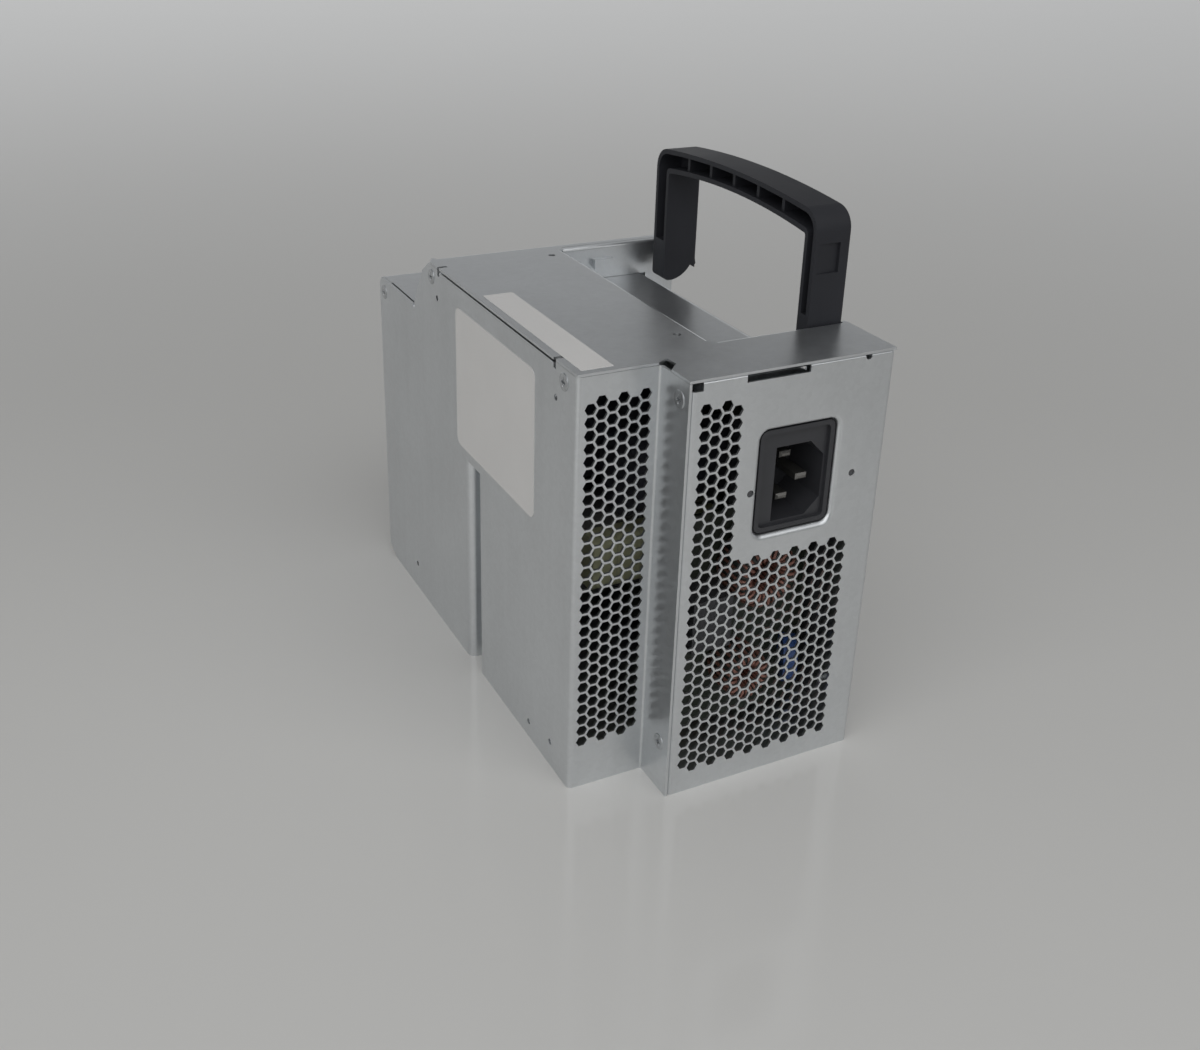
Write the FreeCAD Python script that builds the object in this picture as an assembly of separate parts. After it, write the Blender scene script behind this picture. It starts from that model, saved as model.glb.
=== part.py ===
import FreeCAD, Part
import math
import os

# Workstation power supply with a folding carry handle.
# Millimetres. +Z is up, the mains inlet faces -Y, the guide groove is on the -X side.
# The origin is at the centre of the case's footprint, on the surface it stands on.

V = FreeCAD.Vector

# Overall sizes
case_width = 96.0
case_depth = 186.0
case_height = 140.0
shelf_height = 119.0
tall_depth = 133.0

# Sheet metal
sheet = 0.8
seam = 0.1
bend_radius = 1.6
flange_depth = 9.0

# Stepped front: the narrow vent face stands back beside the inlet panel
step_width = 26.0
step_depth = 16.0

# Hexagonal vents
hole_pitch = 4.0
hole_flats = 3.3
narrow_vent_drop = 10.8
narrow_vent_foot = 17.0
narrow_vent_margin = 4.3
wide_vent_drop = 9.2
wide_vent_foot = 10.5
wide_vent_margin = 5.8
wide_vent_right = 12.0
opening_margin = 7.6

# Guide groove pressed into the left side
groove_from_front = 89.1
groove_width = 8.3
groove_depth = 6.0
groove_height = 79.0
groove_lip = 3.0

# Handle bay in the top
plate_width = 48.0
strip_depth = 25.0
bay_length = 102.5
stow_gap = 0.5
stow_clearance = 0.6
tray_reach = 6.0

# Handle, standing upright at rest
handle_width = 13.2
handle_arch = 2.9
handle_end_gap = 0.3
handle_leg = 5.6
handle_rear_leg = 8.4
handle_grip = 7.2
handle_foot_drop = 7.4
handle_wall = 1.5
handle_hollow = 9.0
handle_rib_pitch = 14.15
handle_rib = 1.4
handle_side_gap = 0.8
handle_edge = 1.4
handle_corner = 7.0
handle_inner_corner = 0.8
handle_pad = 9.2
handle_pad_width = 7.8
handle_pad_reach = 6.6
handle_pad_depth = 1.0
handle_pad_rise = 16.0
tooth_reach = 0.7
pivot_inset = 6.0
pivot_drop = 4.0
pivot_radius = 2.0
pivot_clearance = 0.05
pivot_depth = 4.2
pivot_head_radius = 3.0
pivot_head = 1.0
spacer_length = 6.0
spacer_wall = 2.0

# Mains inlet
inlet_from_right = 29.3
inlet_from_top = 38.4
opening_shift_x = -2.1
opening_shift_z = 2.0
inlet_open_corner = 3.0
inlet_dish = 2.2
inlet_roll = 1.6
inlet_flange_margin = 2.5
inlet_flange = 2.4
socket_width = 17.0
socket_height = 24.0
socket_surround = 5.0
socket_bevel = 5.0
socket_depth = 17.0
socket_wall = 2.2
blade_width = 4.0
blade_thickness = 2.0
blade_length = 13.0
blade_tail = 8.0
blade_bevel = 0.65
earth_lead = 2.6
blade_spacing = 14.0
blade_row = 2.1
earth_offset = 4.6
rivet_spacing = 36.0
rivet_radius = 1.0
rivet_recess = 0.6

# Fasteners
screw_shank = 1.4
screw_clearance = 0.1
screw_head_radius = 2.7
screw_head = 0.4
screw_length = 4.0

# Labels
label_thickness = 0.15
rating_label_length = 63.0
rating_label_height = 49.0
top_label_length = 70.0
top_label_width = 10.0

# Fan
fan_size = 80.0
fan_depth = 25.0
fan_wall = 2.0
fan_hole_spacing = 71.5
fan_centre_z = 58.0
fan_hub_radius = 17.0
fan_tip_gap = 1.4
fan_blades = 7
fan_shaft_radius = 1.5
rear_inset = 1.2

# Boards and components
board_thickness = 1.6
standoff_length = 6.0
standoff_radius = 3.0
can_radius = 14.3
can_length = 45.0
core_length = 36.0
core_height = 30.0
core_foot = 34.4
core_reach = 62.0
core_leg = 5.0
core_window = 6.0
dock_length = 64.0
dock_width = 14.0

# Faces and places that follow from the sizes above
left = -case_width / 2
right = case_width / 2
front = -case_depth / 2
back = case_depth / 2
deck = shelf_height
step_x = left + step_width
step_y = front + step_depth
tall_back = front + tall_depth
wall_right = right - sheet - seam
groove_front = front + groove_from_front
groove_back = groove_front + groove_width
rear_face = back - rear_inset
bay_left = left + plate_width
bay_front = front + strip_depth
bay_back = bay_front + bay_length
pivot_x = right - pivot_inset
pivot_z = case_height - pivot_drop
handle_x1 = right - handle_side_gap
handle_x0 = handle_x1 - handle_width
handle_y0 = bay_front + handle_end_gap
handle_length = bay_length - spacer_length - 2 * handle_end_gap
handle_y1 = handle_y0 + handle_length
handle_top = pivot_z + pivot_x - bay_left - stow_gap
handle_shoulder = handle_top - handle_arch
handle_foot = pivot_z - handle_foot_drop
bay_floor_height = pivot_z - (pivot_x - handle_x0) - stow_clearance
bay_floor_right = handle_x0 - 4 * seam
inlet_x = right - inlet_from_right
inlet_z = case_height - inlet_from_top
inlet_open_width = socket_width + 2 * socket_surround
inlet_open_height = socket_height + 2 * socket_surround
opening_x = inlet_x + opening_shift_x
opening_z = inlet_z + opening_shift_z
column_pitch = hole_pitch * math.sqrt(3) / 2
fan_bore_radius = fan_size / 2 - fan_wall
fan_blade_radius = fan_bore_radius - fan_tip_gap
fan_front = rear_face - sheet - fan_depth


def block(x0, x1, y0, y1, z0, z1):
    return Part.makeBox(x1 - x0, y1 - y0, z1 - z0, V(x0, y0, z0))


def rod(radius, at, direction, length):
    return Part.makeCylinder(radius, length, V(*at), V(*direction))


def fuse(shapes):
    return shapes[0].multiFuse(shapes[1:]).removeSplitter()


def prism(points, direction):
    """Closed polygon swept along a straight direction."""
    wire = Part.makePolygon([V(*p) for p in points] + [V(*points[0])])
    return Part.Face(wire).extrude(V(*direction))


def prism_x(outline, x0, x1):
    return prism([(x0, y, z) for y, z in outline], (x1 - x0, 0, 0))


def prism_y(outline, y0, y1):
    return prism([(x, y0, z) for x, z in outline], (0, y1 - y0, 0))


def prism_z(outline, z0, z1):
    return prism([(x, y, z0) for x, y in outline], (0, 0, z1 - z0))


def round_edges(shape, radius, axis, corners):
    """Fillet the straight edges along one axis that stand at the given corners."""
    chosen = []
    for edge in shape.Edges:
        if len(edge.Vertexes) != 2:
            continue
        ends = [tuple(v.Point) for v in edge.Vertexes]
        spans = [abs(ends[0][i] - ends[1][i]) for i in range(3)]
        others = [i for i in range(3) if i != axis]
        if spans[axis] < 0.05 or max(spans[i] for i in others) > 1e-4:
            continue
        place = tuple(ends[0][i] for i in others)
        if any(math.dist(place, corner) < 0.02 for corner in corners):
            chosen.append(edge)
    return shape.makeFillet(radius, chosen)


def hexagon_y(x, z, y0, y1):
    """Flat-topped hexagonal punch across a sheet that faces the front."""
    corner = hole_flats / math.sqrt(3)
    turns = [math.radians(60 * i) for i in range(6)]
    outline = [(x + corner * math.cos(a), z + corner * math.sin(a)) for a in turns]
    return prism_y(outline, y0, y1)


def hexagon_field(x_first, z_first, rows_of_column, odd_shift, y0, y1):
    """Columns of hexagons, every second column shifted by half a pitch."""
    punches = []
    for column, rows in enumerate(rows_of_column):
        shift = odd_shift * hole_pitch * (column % 2)
        for row in rows:
            z = z_first + shift - row * hole_pitch
            punches.append(hexagon_y(x_first + column * column_pitch, z, y0, y1))
    return Part.makeCompound(punches)


def hex_rod(flats, at, direction, length):
    """Six-sided bar along one axis, used where a round one would only add facets."""
    corner = flats / math.sqrt(3)
    axis = [i for i in range(3) if direction[i]][0]
    across = [i for i in range(3) if i != axis]
    points = []
    for turn in range(6):
        point = list(at)
        point[across[0]] += corner * math.cos(math.radians(60 * turn))
        point[across[1]] += corner * math.sin(math.radians(60 * turn))
        points.append(tuple(point))
    return prism(points, tuple(d * length for d in direction))


def screw(at, inward, length=screw_length):
    """Low round head outside the sheet, plain shank through it."""
    outward = tuple(-c for c in inward)
    head = rod(screw_head_radius, at, outward, screw_head)
    shank = hex_rod(2 * screw_shank * math.cos(math.pi / 6), at, inward, length)
    return fuse([head, shank])


def screw_hole(at, inward, length=screw_length):
    start = tuple(a - c for a, c in zip(at, inward))
    return rod(screw_shank + screw_clearance, start, inward, length + 1)


# Places of the fasteners, on the outer face of the outer sheet
ear_drop = 5.0
ear_screws = [(left, front + 24.3, case_height - ear_drop), (left, tall_back - 4.0, case_height - ear_drop)]
ear_places = [(s[1], s[2]) for s in ear_screws]
slit_width = 1.6
slit_depth = 2.2
edge_gap = 0.6
slit_places = [ear_places[0][0] + 6.1, ear_places[1][0] - 6.8]
gusset_foot = tall_back + 15.0
step_screw_places = [(step_x, front + 5.0, case_height - 7.0), (step_x, front + 5.6, 17.4)]
shelf_screw_places = [(left, back - 5.0, deck - 5.2)]
side_screw_places = [(right, front + 15.0, 16.0), (right, front + 15.0, deck - 19.0)]
rear_screw_places = [(wall_right, rear_face - 5.5, 14.0), (wall_right, rear_face - 5.5, deck - 15.0)]
fan_half = fan_hole_spacing / 2
fan_screw_places = [(sx * fan_half, rear_face, fan_centre_z + sz * fan_half)
                    for sx in (-1, 1) for sz in (-1, 1)]


def holes(places, inward):
    return [screw_hole(place, inward) for place in places]


def groove_face(grow):
    """Section of the guide groove, from the left face inwards, grown by a wall thickness."""
    inner = groove_lip - grow
    x_lip = left + groove_lip
    x_floor = left + groove_depth + grow
    front_wall = groove_front - grow
    back_wall = groove_back + grow
    mouth_front = groove_front - groove_lip
    mouth_back = groove_back + groove_lip
    slant = inner * math.sqrt(0.5)
    start = V(x_lip - inner, mouth_front, 0)
    end = V(x_lip - inner, mouth_back, 0)
    front_arc = Part.Arc(start, V(x_lip - slant, mouth_front + slant, 0), V(x_lip, front_wall, 0)).toShape()
    back_arc = Part.Arc(V(x_lip, back_wall, 0), V(x_lip - slant, mouth_back - slant, 0), end).toShape()
    corners = [V(x_lip, front_wall, 0), V(x_floor, front_wall, 0), V(x_floor, back_wall, 0),
               V(x_lip, back_wall, 0)]
    sides = [Part.makeLine(corners[i], corners[i + 1]) for i in range(3)]
    closing = [end, V(left, mouth_back, 0), V(left, mouth_front, 0), start]
    edge = [Part.makeLine(u, w) for u, w in zip(closing, closing[1:]) if u.distanceToPoint(w) > 1e-6]
    return Part.Face(Part.Wire([front_arc] + sides + [back_arc] + edge))


def make_side_wrap():
    """Left side, narrow vent face and step wall folded from one sheet."""
    inner_left = left + sheet
    inner_step = step_x + sheet
    inner_vent = step_y + sheet
    outline = [(left, step_y), (step_x, step_y), (step_x, front), (inner_step, front),
               (inner_step, inner_vent), (inner_left, inner_vent), (inner_left, back), (left, back)]
    wall_top = case_height - sheet - seam
    body = prism_z(outline, 0, wall_top)
    body = round_edges(body, bend_radius, 2, [(left, step_y), (inner_step, inner_vent)])
    body = round_edges(body, bend_radius - sheet, 2, [(inner_left, inner_vent), (step_x, step_y)])

    # Outline of the left side: gusset down to the rear deck, eased rear corners
    gusset_top = tall_back - 1.5
    ease = 2.5
    above = [(gusset_top, wall_top + 1), (gusset_top, wall_top), (tall_back + 5.0, case_height - 5.2),
             (gusset_foot, deck), (back - ease, deck), (back, deck - ease), (back + 1, deck - ease),
             (back + 1, wall_top + 1)]
    below = [(back - 8.0, -1), (back + 1, -1), (back + 1, 3.6), (back, 3.6), (back - 8.0, 0)]
    body = body.cut(prism_x(above, left - 1, inner_left + 1))
    body = body.cut(prism_x(below, left - 1, inner_left + 1))

    # Guide groove: a channel with rolled lips and a sloped top end, open at the bottom
    mouth_front = groove_front - groove_lip
    mouth_back = groove_back + groove_lip
    mouth = block(left - 1, inner_left + 1, mouth_front, mouth_back, -1, groove_height)
    hollow = groove_face(0)
    ramp_foot = groove_height - groove_depth
    floor = left + groove_depth
    liner = groove_face(sheet).extrude(V(0, 0, groove_height)).cut(hollow.extrude(V(0, 0, groove_height)))
    slope = prism_y([(left, groove_height), (floor, ramp_foot), (floor, ramp_foot + 2 * sheet),
                     (left, groove_height + 2 * sheet)], mouth_front, mouth_back)
    end = hollow.extrude(V(0, 0, groove_height)).common(slope)
    body = body.cut(mouth).fuse([liner, end]).removeSplitter()

    # Vents, screw holes and the small tooling holes
    columns = int((step_width - 2 * narrow_vent_margin) / column_pitch) + 1
    first_x = left + (step_width - (columns - 1) * column_pitch) / 2
    first_z = case_height - narrow_vent_drop
    rows = range(int((first_z - narrow_vent_foot) / hole_pitch) + 1)
    vents = hexagon_field(first_x, first_z, [rows] * columns, 0.5, step_y - 1, inner_vent + 1)
    tooling = [(front + 29.4, case_height - 11.5), (tall_back - 9.1, case_height - 11.2),
               (front + 29.7, 9.0), (front + 46.2, 6.0), (back - 33.4, 10.7)]
    tooling.append((gusset_foot, deck))
    small = [rod(1.0, (left - 1, y, z), (1, 0, 0), 3) for y, z in tooling]

    # Shadow gap under the top cover, with a deeper nick at each relief slit
    small.append(block(left - 1, inner_left + 1, slit_places[0], slit_places[1],
                       wall_top - edge_gap, wall_top + 1))
    small += [block(left - 1, inner_left + 1, y - slit_width / 2, y + slit_width / 2, wall_top - slit_depth,
                    wall_top + 1) for y in slit_places]
    drilled = holes(ear_screws, (1, 0, 0)) + holes(step_screw_places, (1, 0, 0))
    drilled += holes(shelf_screw_places, (1, 0, 0))
    return body.cut(vents).cut(Part.makeCompound(small + drilled))


def make_inlet_panel():
    """Right front face with its vents, dished mains opening and folded flanges."""
    x0 = step_x + sheet + seam
    z1 = case_height - sheet - seam
    inner = front + sheet
    flange_back = front + flange_depth
    side_back = bay_front - 3.0
    plate = block(x0, right, front, inner, 0, z1)
    left_flange = block(x0, x0 + sheet, front, flange_back, 0, z1)
    top_flange = block(x0 + 4, right - 4, front, flange_back, z1 - sheet, z1)
    side_flange = block(right - sheet, right, front, side_back, 0, z1)
    foot = block(x0 + 4, right - 4, front, flange_back, sheet + seam, 2 * sheet + seam)
    body = fuse([plate, left_flange, top_flange, side_flange, foot])
    body = round_edges(body, bend_radius, 2, [(right, front), (x0, front)])
    body = round_edges(body, bend_radius - sheet, 2, [(right - sheet, inner), (x0 + sheet, inner)])
    body = round_edges(body, sheet * 0.9, 0, [(front, z1)])

    # Reliefs in the top fold: a long slot, a corner notch and a small one at the right
    slot = block(right - 51.4, right - 30.1, front - 1, inner + 2.2, z1 - 2.3, z1 + 1)
    notch = block(x0 - 1, x0 + 3.6, front - 1, flange_back + 1, z1 - 2.6, z1 + 1)
    heel = block(x0 - 1, x0 + 3.6, inner + bend_radius, flange_back + 1, -1, 4)
    nick = rod(1.1, (right - 9.8, front - 1, z1 - 0.4), (0, 1, 0), 4)

    # Dished opening: the edge of the sheet rolls inwards round the mains inlet
    half_w = inlet_open_width / 2
    half_h = inlet_open_height / 2
    opening = opening_block(half_w, half_h, front - 1, front + inlet_dish, inlet_open_corner)
    collar = opening_block(half_w + sheet, half_h + sheet, front, front + inlet_dish,
                           inlet_open_corner + sheet)
    body = body.fuse(collar).cut(opening).removeSplitter()
    heel_edges = [edge for edge in body.Edges if on_opening_lip(edge, inner, half_w + sheet, half_h + sheet)]
    body = body.makeFillet(inlet_roll - sheet, heel_edges)
    lip_edges = [edge for edge in body.Edges if on_opening_lip(edge, front, half_w, half_h)]
    body = body.makeFillet(inlet_roll, lip_edges)

    # Vents fill the panel beside and below the opening
    first_x = step_x + wide_vent_margin
    first_z = case_height - wide_vent_drop
    row_count = int((first_z - wide_vent_foot) / hole_pitch) + 1
    columns = int((right - wide_vent_right - first_x) / column_pitch) + 1
    beside = int((opening_x - half_w - opening_margin - first_x) / column_pitch) + 1
    first_below = math.ceil((first_z - opening_z + half_h + opening_margin) / hole_pitch)
    column_rows = [range(row_count)] * beside + [range(first_below, row_count)] * (columns - beside)
    vents = hexagon_field(first_x, first_z, column_rows, -0.5, front - 1, inner + 0.5)
    rivets = [rod(rivet_radius + seam, (inlet_x + s * rivet_spacing / 2, front - 1, inlet_z), (0, 1, 0), 4)
              for s in (-1, 1)]
    drilled = holes(step_screw_places, (1, 0, 0)) + holes(side_screw_places, (-1, 0, 0))
    body = body.cut(vents)
    return body.cut(Part.makeCompound([slot, notch, heel, nick] + rivets + drilled))


def opening_block(half_w, half_h, y0, y1, corner):
    """Upright block with rounded corners, centred on the mains opening."""
    body = block(opening_x - half_w, opening_x + half_w, y0, y1, opening_z - half_h, opening_z + half_h)
    places = [(opening_x + sx * half_w, opening_z + sz * half_h) for sx in (-1, 1) for sz in (-1, 1)]
    return round_edges(body, corner, 1, places)


def on_opening_lip(edge, y, half_w, half_h):
    """True for the edges round the mains opening that lie in one face of the panel."""
    box = edge.BoundBox
    flat = abs(box.YMin - y) < 1e-3 and abs(box.YMax - y) < 1e-3
    in_x = box.XMin > opening_x - half_w - 0.01 and box.XMax < opening_x + half_w + 0.01
    in_z = box.ZMin > opening_z - half_h - 0.01 and box.ZMax < opening_z + half_h + 0.01
    return flat and in_x and in_z


def make_base_pan():
    """Bottom and right side, folded up along the right edge, with a low left flange."""
    x0 = left + sheet + seam
    y0 = front + bend_radius + 3 * seam
    inner_step = step_x + 2 * sheet + 3 * seam
    vent_y = step_y + bend_radius + seam
    floor = [(x0, vent_y), (inner_step, vent_y), (inner_step, y0),
             (wall_right, y0), (wall_right, back), (x0, back)]
    body = fuse([prism_z(floor, 0, sheet),
                 block(wall_right - sheet, wall_right, y0, back, 0, deck - sheet - seam),
                 block(x0, x0 + sheet, step_y + 2, rear_face - sheet, 0, 10.0)])
    body = round_edges(body, bend_radius, 1, [(wall_right, 0)])
    body = round_edges(body, bend_radius - sheet, 1, [(wall_right - sheet, sheet)])
    gap = sheet + 4 * seam
    reach = groove_lip + seam
    groove = fuse([block(left, left + groove_depth + gap, groove_front - gap, groove_back + gap, -1, 12),
                   block(left, left + reach, groove_front - reach, groove_back + reach, -1, 12)])
    dock = block(-dock_length / 2, dock_length / 2, dock_y - dock_width / 2, dock_y + dock_width / 2, -1, 2)
    drilled = holes(side_screw_places, (-1, 0, 0)) + holes(rear_screw_places, (-1, 0, 0))
    return body.cut(Part.makeCompound([groove, dock] + drilled))


def make_top_cover():
    """Top plate, front strip and rear strip, with flanges round the open handle bay."""
    z0 = case_height - sheet
    ear_x = left + sheet + seam
    flange_end = wall_right - sheet - seam
    fold = 3.0
    relief = 1.0
    ledge_top = deck + seam
    floor_top = bay_floor_height + seam
    wall_start = ear_x + sheet + 1.0
    plate = prism_z([(left, step_y), (step_x, step_y), (step_x, front), (right, front), (right, bay_front),
                     (flange_end, bay_front), (flange_end, bay_front - fold),
                     (bay_left + relief, bay_front - fold), (bay_left + relief, bay_front),
                     (bay_left, bay_front), (bay_left, bay_front + relief),
                     (bay_left - fold, bay_front + relief), (bay_left - fold, bay_back - relief),
                     (bay_left, bay_back - relief), (bay_left, bay_back), (bay_left + relief, bay_back),
                     (bay_left + relief, tall_back - fold), (wall_start, tall_back - fold),
                     (wall_start, tall_back), (ear_x + sheet, tall_back), (left, tall_back - 3.0)],
                    z0, case_height)

    # Folded edges, each an angle or channel with a bend of its own
    step_fold = prism_y([(bay_left - fold, z0), (bay_left - fold, case_height), (bay_left, case_height),
                         (bay_left, floor_top), (bay_left - sheet, floor_top), (bay_left - sheet, z0)],
                        bay_front + relief, bay_back - relief)
    step_fold = round_edges(step_fold, bend_radius, 1, [(bay_left, case_height)])
    front_fold = prism_x([(bay_front - fold, z0), (bay_front - fold, case_height), (bay_front, case_height),
                          (bay_front, ledge_top), (bay_front - sheet, ledge_top), (bay_front - sheet, z0)],
                         bay_left + relief, flange_end)
    front_fold = round_edges(front_fold, bend_radius, 0, [(bay_front, case_height)])
    rear_fold = prism_x([(bay_back, ledge_top), (bay_back, case_height), (tall_back, case_height),
                         (tall_back, ledge_top), (tall_back - sheet, ledge_top), (tall_back - sheet, z0),
                         (bay_back + sheet, z0), (bay_back + sheet, ledge_top)],
                        bay_left + relief, flange_end)
    rear_fold = round_edges(rear_fold, bend_radius, 0, [(bay_back, case_height), (tall_back, case_height)])
    rear_wall = prism_x([(tall_back - fold, z0), (tall_back - fold, case_height), (tall_back, case_height),
                         (tall_back, ledge_top), (tall_back - sheet, ledge_top), (tall_back - sheet, z0)],
                        wall_start, bay_left + relief)
    rear_wall = round_edges(rear_wall, bend_radius, 0, [(tall_back, case_height)])
    ears = [block(ear_x, ear_x + sheet, y - 5, y + 3.5, z - 5, z0 + sheet / 2) for y, z in ear_places]
    body = fuse([plate, step_fold, front_fold, rear_fold, rear_wall] + ears)
    over_floor = block(bay_left, bay_floor_right + 1, bay_front - fold, bay_back + 2,
                       ledge_top - 1, floor_top)

    # Corner relief over the step, relief slits beside the ears, tooling holes
    corner = prism_z([(step_x - 2.6, step_y - 1), (step_x + 3.0, step_y + 2.0), (step_x + 3.4, step_y - 2.5),
                      (step_x, step_y - 6)], z0 - 1, case_height + 1)
    slits = [block(left - 1, left + 3.2, y - slit_width / 2, y + slit_width / 2, z0 - seam, case_height + 1)
             for y in slit_places]
    tooling = [rod(1.2, (bay_left - 6.3, y, z0 - 1), (0, 0, 1), 4)
               for y in (bay_front + 9.2, bay_back - 6.0)]
    pins = [rod(pivot_radius + pivot_clearance, (pivot_x, y, pivot_z), (0, 1, 0), 4)
            for y in (bay_front - 2, bay_back - 1)]
    drilled = tooling + pins + holes(ear_screws, (1, 0, 0))
    body = body.cut(Part.makeCompound([over_floor, corner] + slits + drilled))

    # Tongue pressed out of the rear flange that steadies the stowed handle
    tongue_x0 = bay_left + 12.5
    tongue_x1 = tongue_x0 + 7.6
    tongue_z0 = bay_floor_height + 3.6
    tongue = block(tongue_x0, tongue_x1, bay_back - 2.4, bay_back + sheet, tongue_z0, tongue_z0 + 4.0)
    tongue = round_edges(tongue, 1.3, 1, [(tongue_x0, tongue_z0), (tongue_x1, tongue_z0)])
    return fuse([body, tongue])


def make_handle_tray():
    """Bay floor, drop and side ledge, folded as one long step."""
    x0 = bay_left - sheet - tray_reach
    x1 = bay_floor_right
    z0 = bay_floor_height - sheet
    ledge_z = deck - sheet
    end = wall_right - sheet - seam
    outline = [(x0, z0), (x1 - sheet, z0), (x1 - sheet, ledge_z), (end, ledge_z), (end, deck),
               (x1, deck), (x1, bay_floor_height), (x0, bay_floor_height)]
    y0 = bay_front - tray_reach
    y1 = bay_back + 3.0
    body = prism_y(outline, y0, y1)
    body = round_edges(body, bend_radius, 1, [(x1, bay_floor_height), (x1 - sheet, ledge_z)])
    return round_edges(body, bend_radius - sheet, 1, [(x1 - sheet, z0), (x1, deck)])


def make_shelf_cover():
    """Lower rear deck with a side ear and a rear lip."""
    x0 = left + sheet + seam
    x1 = wall_right - sheet - seam
    y0 = bay_back + 3.0 + seam
    plate = block(x0, x1, y0, rear_face, deck - sheet, deck)
    ear_y = back - 11.0
    ear = block(x0, x0 + sheet, ear_y, rear_face - 2, deck - 11, deck)
    lip = block(x0, x1, rear_face - sheet, rear_face, deck - 7, deck)
    body = fuse([plate, ear, lip])
    body = round_edges(body, bend_radius, 0, [(rear_face, deck)])
    crease = block(x0 - 1, x0 + edge_gap, gusset_foot, ear_y, deck - 2, deck + 1)
    return body.cut(Part.makeCompound([crease] + holes(shelf_screw_places, (1, 0, 0))))


def arc_slot(radius_in, radius_out, start, end, y0, y1):
    """Curved slot between two radii and two angles, through a sheet facing the rear."""
    def at(radius, degrees):
        angle = math.radians(degrees)
        return V(radius * math.cos(angle), y0, fan_centre_z + radius * math.sin(angle))
    middle = (start + end) / 2
    outer = Part.Arc(at(radius_out, start), at(radius_out, middle), at(radius_out, end)).toShape()
    inner = Part.Arc(at(radius_in, end), at(radius_in, middle), at(radius_in, start)).toShape()
    sides = [Part.makeLine(at(radius_out, end), at(radius_in, end)),
             Part.makeLine(at(radius_in, start), at(radius_out, start))]
    wire = Part.Wire([outer, sides[0], inner, sides[1]])
    return Part.Face(wire).extrude(V(0, y1 - y0, 0))


def make_rear_panel():
    """Rear face with side flanges and the slotted fan grille."""
    x0 = left + sheet + seam
    x1 = wall_right - sheet - seam
    z0 = bend_radius + seam
    z1 = deck - 8.0
    y0 = rear_face - sheet
    body = fuse([block(x0, x1, y0, rear_face, z0, z1),
                 block(x0, x0 + sheet, rear_face - flange_depth, rear_face, 12, z1 - 5),
                 block(x1 - sheet, x1, rear_face - flange_depth, rear_face, z0, z1)])
    rib = 3.0
    first = 9.0
    width = 6.6
    cuts = []
    for ring in range(3):
        inner = first + ring * (width + rib)
        half_gap = math.degrees(rib / (2 * inner + width))
        for quarter in range(4):
            start = 90 * quarter + 45 + half_gap
            end = start + 90 - 2 * half_gap
            cuts.append(arc_slot(inner, inner + width, start, end, y0 - 1, rear_face + 1))
    cuts += holes(fan_screw_places, (0, -1, 0)) + holes(rear_screw_places, (-1, 0, 0))
    return body.cut(Part.makeCompound(cuts))


def handle_outline(inset, x):
    """Side view of the bail: straight legs and an arched grip, drawn in by inset."""
    y0 = handle_y0 + inset
    y1 = handle_y1 - inset
    middle = (y0 + y1) / 2
    front_leg = handle_leg - 2 * inset
    rear_leg = handle_rear_leg - 2 * inset
    grip = handle_grip - 2 * inset
    shoulder = handle_shoulder - inset
    crown = handle_top - inset
    foot = handle_foot
    arch = Part.Arc(V(x, y0, shoulder), V(x, middle, crown), V(x, y1, shoulder)).toShape()
    inner_y0 = y0 + front_leg
    inner_y1 = y1 - rear_leg
    under = Part.Arc(V(x, inner_y1, shoulder - grip), V(x, middle, crown - grip),
                     V(x, inner_y0, shoulder - grip)).toShape()
    rear_side = Part.makePolygon([V(x, y1, shoulder), V(x, y1, foot), V(x, inner_y1, foot),
                                  V(x, inner_y1, shoulder - grip)])
    front_side = Part.makePolygon([V(x, inner_y0, shoulder - grip), V(x, inner_y0, foot), V(x, y0, foot),
                                   V(x, y0, shoulder)])
    wire = Part.Wire([arch] + rear_side.Edges + [under] + front_side.Edges)
    places = {"outer": [(y0, shoulder), (y1, shoulder)],
              "inner": [(inner_y0, shoulder - grip), (inner_y1, shoulder - grip)]}
    return wire, places


def handle_form(inset, x0, x1, outer_round, inner_round):
    wire, places = handle_outline(inset, x0)
    body = Part.Face(wire).extrude(V(x1 - x0, 0, 0))
    body = round_edges(body, outer_round, 0, places["outer"])
    return round_edges(body, inner_round, 0, places["inner"])


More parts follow.
